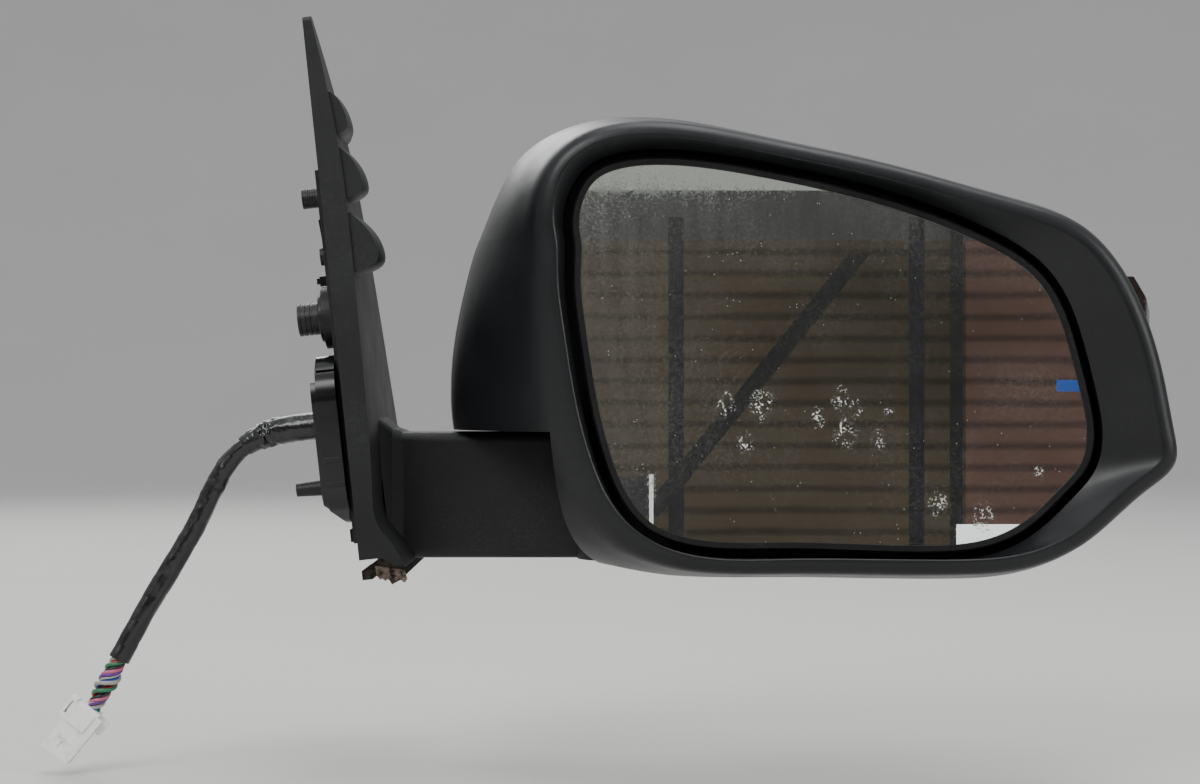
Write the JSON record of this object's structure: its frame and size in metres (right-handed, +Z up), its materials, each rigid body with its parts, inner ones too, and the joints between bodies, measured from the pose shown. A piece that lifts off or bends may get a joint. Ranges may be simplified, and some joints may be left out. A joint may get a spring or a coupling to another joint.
{
  "type": "door mirror",
  "caption": "Right-hand powered door mirror: folding head with heated tilting glass and turn signal, on a three-cornered base with studs and a wired connector.",
  "frame": {"origin": "on the base's mounting face, on the axis of the main threaded sleeve", "axes": "+X outboard from the door, +Y to the front of the vehicle (the glass faces -Y), +Z up as fitted; the base leans 6 degrees inboard at its top"},
  "size_m": [0.4475, 0.1591, 0.2938],
  "materials": {
    "textured_plastic": "fine moulded grain, satin black",
    "cap_plastic": "smooth satin black",
    "gloss_black_plastic": "glossy black moulding",
    "grey_plastic": "glass-filled grey plastic",
    "white_plastic": "off-white nylon",
    "smoked_lens": "smoked clear plastic",
    "mirror": "silvered glass with dust and water marks",
    "cast_aluminium": "die casting, coated black",
    "steel": "zinc-plated steel",
    "dark_steel": "black-passivated steel",
    "spring_steel": "oiled spring steel",
    "brass": "machined brass",
    "acetal": "natural acetal",
    "foam": "closed-cell foam, edges frayed brown",
    "cable_tape": "wound black PVC tape",
    "film": "printed heater film",
    "circuit_board": "green solder mask"
  },
  "bodies": {
    "base": {"base_cover": "textured_plastic", "base_bracket": "cast_aluminium", "upper_stud": "dark_steel", "main_sleeve": "dark_steel", "plate_clip": "gloss_black_plastic", "cover_screws": "dark_steel", "wire_drum": "gloss_black_plastic", "mount_gasket": "foam", "belt_seal": "foam", "pivot_post": "steel", "post_screws": "dark_steel", "fixed_detent_ring": "acetal", "fold_spring": "spring_steel", "spring_washers": "steel", "circlip": "dark_steel", "post_gear": "steel", "harness_cable": "cable_tape", "harness_boot": "cable_tape", "connector_body": "white_plastic", "connector_latch": "white_plastic"},
    "head": {"rear_housing": "textured_plastic", "front_cap": "cap_plastic", "signal_lens": "smoked_lens", "signal_housing": "grey_plastic", "signal_board": "circuit_board", "inner_frame": "grey_plastic", "frame_screws": "steel", "moving_detent_ring": "acetal", "pivot_bush": "acetal", "fold_motor": "steel", "fold_gear_cover": "grey_plastic", "gimbal_pins_case": "steel", "tilt_motor_left_right": "steel", "tilt_motor_up_down": "steel", "actuator_case_glass_half": "grey_plastic", "actuator_case_rear_half": "grey_plastic", "actuator_screws": "steel"},
    "fold_pinion": {"fold_pinion": "brass"},
    "gimbal": {"gimbal_ring": "acetal"},
    "glass": {"mirror_glass": "mirror", "heater_film": "film", "glass_holder": "gloss_black_plastic", "heater_terminals": "brass", "gimbal_pins_holder": "steel"},
    "jack_left_right": {"jack_left_right": "acetal"},
    "jack_up_down": {"jack_up_down": "acetal"},
    "jack_gear_left_right": {"jack_gear_left_right": "acetal"},
    "jack_gear_up_down": {"jack_gear_up_down": "acetal"},
    "worm_left_right": {"worm_left_right": "brass"},
    "worm_up_down": {"worm_up_down": "brass"}
  },
  "joints": [
    {"name": "head_fold", "type": "hinge", "parent": "base", "child": "head", "pos_m": [0.124, -0.006, 0], "axis": [0, 0, 1], "range_deg": [-50, 28]},
    {"name": "fold_pinion_turn", "type": "hinge", "parent": "head", "child": "fold_pinion", "pos_m": [0.14595, -0.006, 0.016], "axis": [0, 0, 1], "range_deg": [-118, 68]},
    {"name": "glass_up_down", "type": "hinge", "parent": "head", "child": "gimbal", "pos_m": [0.2, -0.043, -0.014], "axis": [1, 0, 0], "range_deg": [-6.5, 6.5]},
    {"name": "glass_left_right", "type": "hinge", "parent": "gimbal", "child": "glass", "pos_m": [0.2, -0.043, -0.014], "axis": [0, 0, 1], "range_deg": [-6.5, 6.5]},
    {"name": "jack_left_right_travel", "type": "slide", "parent": "head", "child": "jack_left_right", "axis": [0, 1, 0], "range_m": [-0.0035, 0.0035]},
    {"name": "jack_up_down_travel", "type": "slide", "parent": "head", "child": "jack_up_down", "axis": [0, 1, 0], "range_m": [-0.0035, 0.0035]},
    {"name": "jack_gear_left_right_turn", "type": "hinge", "parent": "head", "child": "jack_gear_left_right", "pos_m": [0.23, -0.043, -0.014], "axis": [0, 1, 0], "range_deg": [-205.2, 205.2]},
    {"name": "jack_gear_up_down_turn", "type": "hinge", "parent": "head", "child": "jack_gear_up_down", "pos_m": [0.2, -0.043, 0.016], "axis": [0, 1, 0], "range_deg": [-205.2, 205.2]},
    {"name": "worm_left_right_turn", "type": "hinge", "parent": "head", "child": "worm_left_right", "pos_m": [0.2183, -0.025, -0.014], "axis": [0, 0, 1], "range_deg": [-5400, 5400]},
    {"name": "worm_up_down_turn", "type": "hinge", "parent": "head", "child": "worm_up_down", "pos_m": [0.2, -0.025, 0.0043], "axis": [1, 0, 0], "range_deg": [-5400, 5400]}
  ],
  "couplings": [
    {"joint": "fold_pinion_turn", "follows": "head_fold", "ratio": 2.3077},
    {"joint": "jack_left_right_travel", "follows": "glass_left_right", "m_per_rad": 0.03},
    {"joint": "jack_up_down_travel", "follows": "glass_up_down", "m_per_rad": -0.03},
    {"joint": "jack_gear_left_right_turn", "follows": "glass_left_right", "ratio": 31.416},
    {"joint": "jack_gear_up_down_turn", "follows": "glass_up_down", "ratio": -31.416},
    {"joint": "worm_left_right_turn", "follows": "glass_left_right", "ratio": 816.81},
    {"joint": "worm_up_down_turn", "follows": "glass_up_down", "ratio": -816.81}
  ]
}
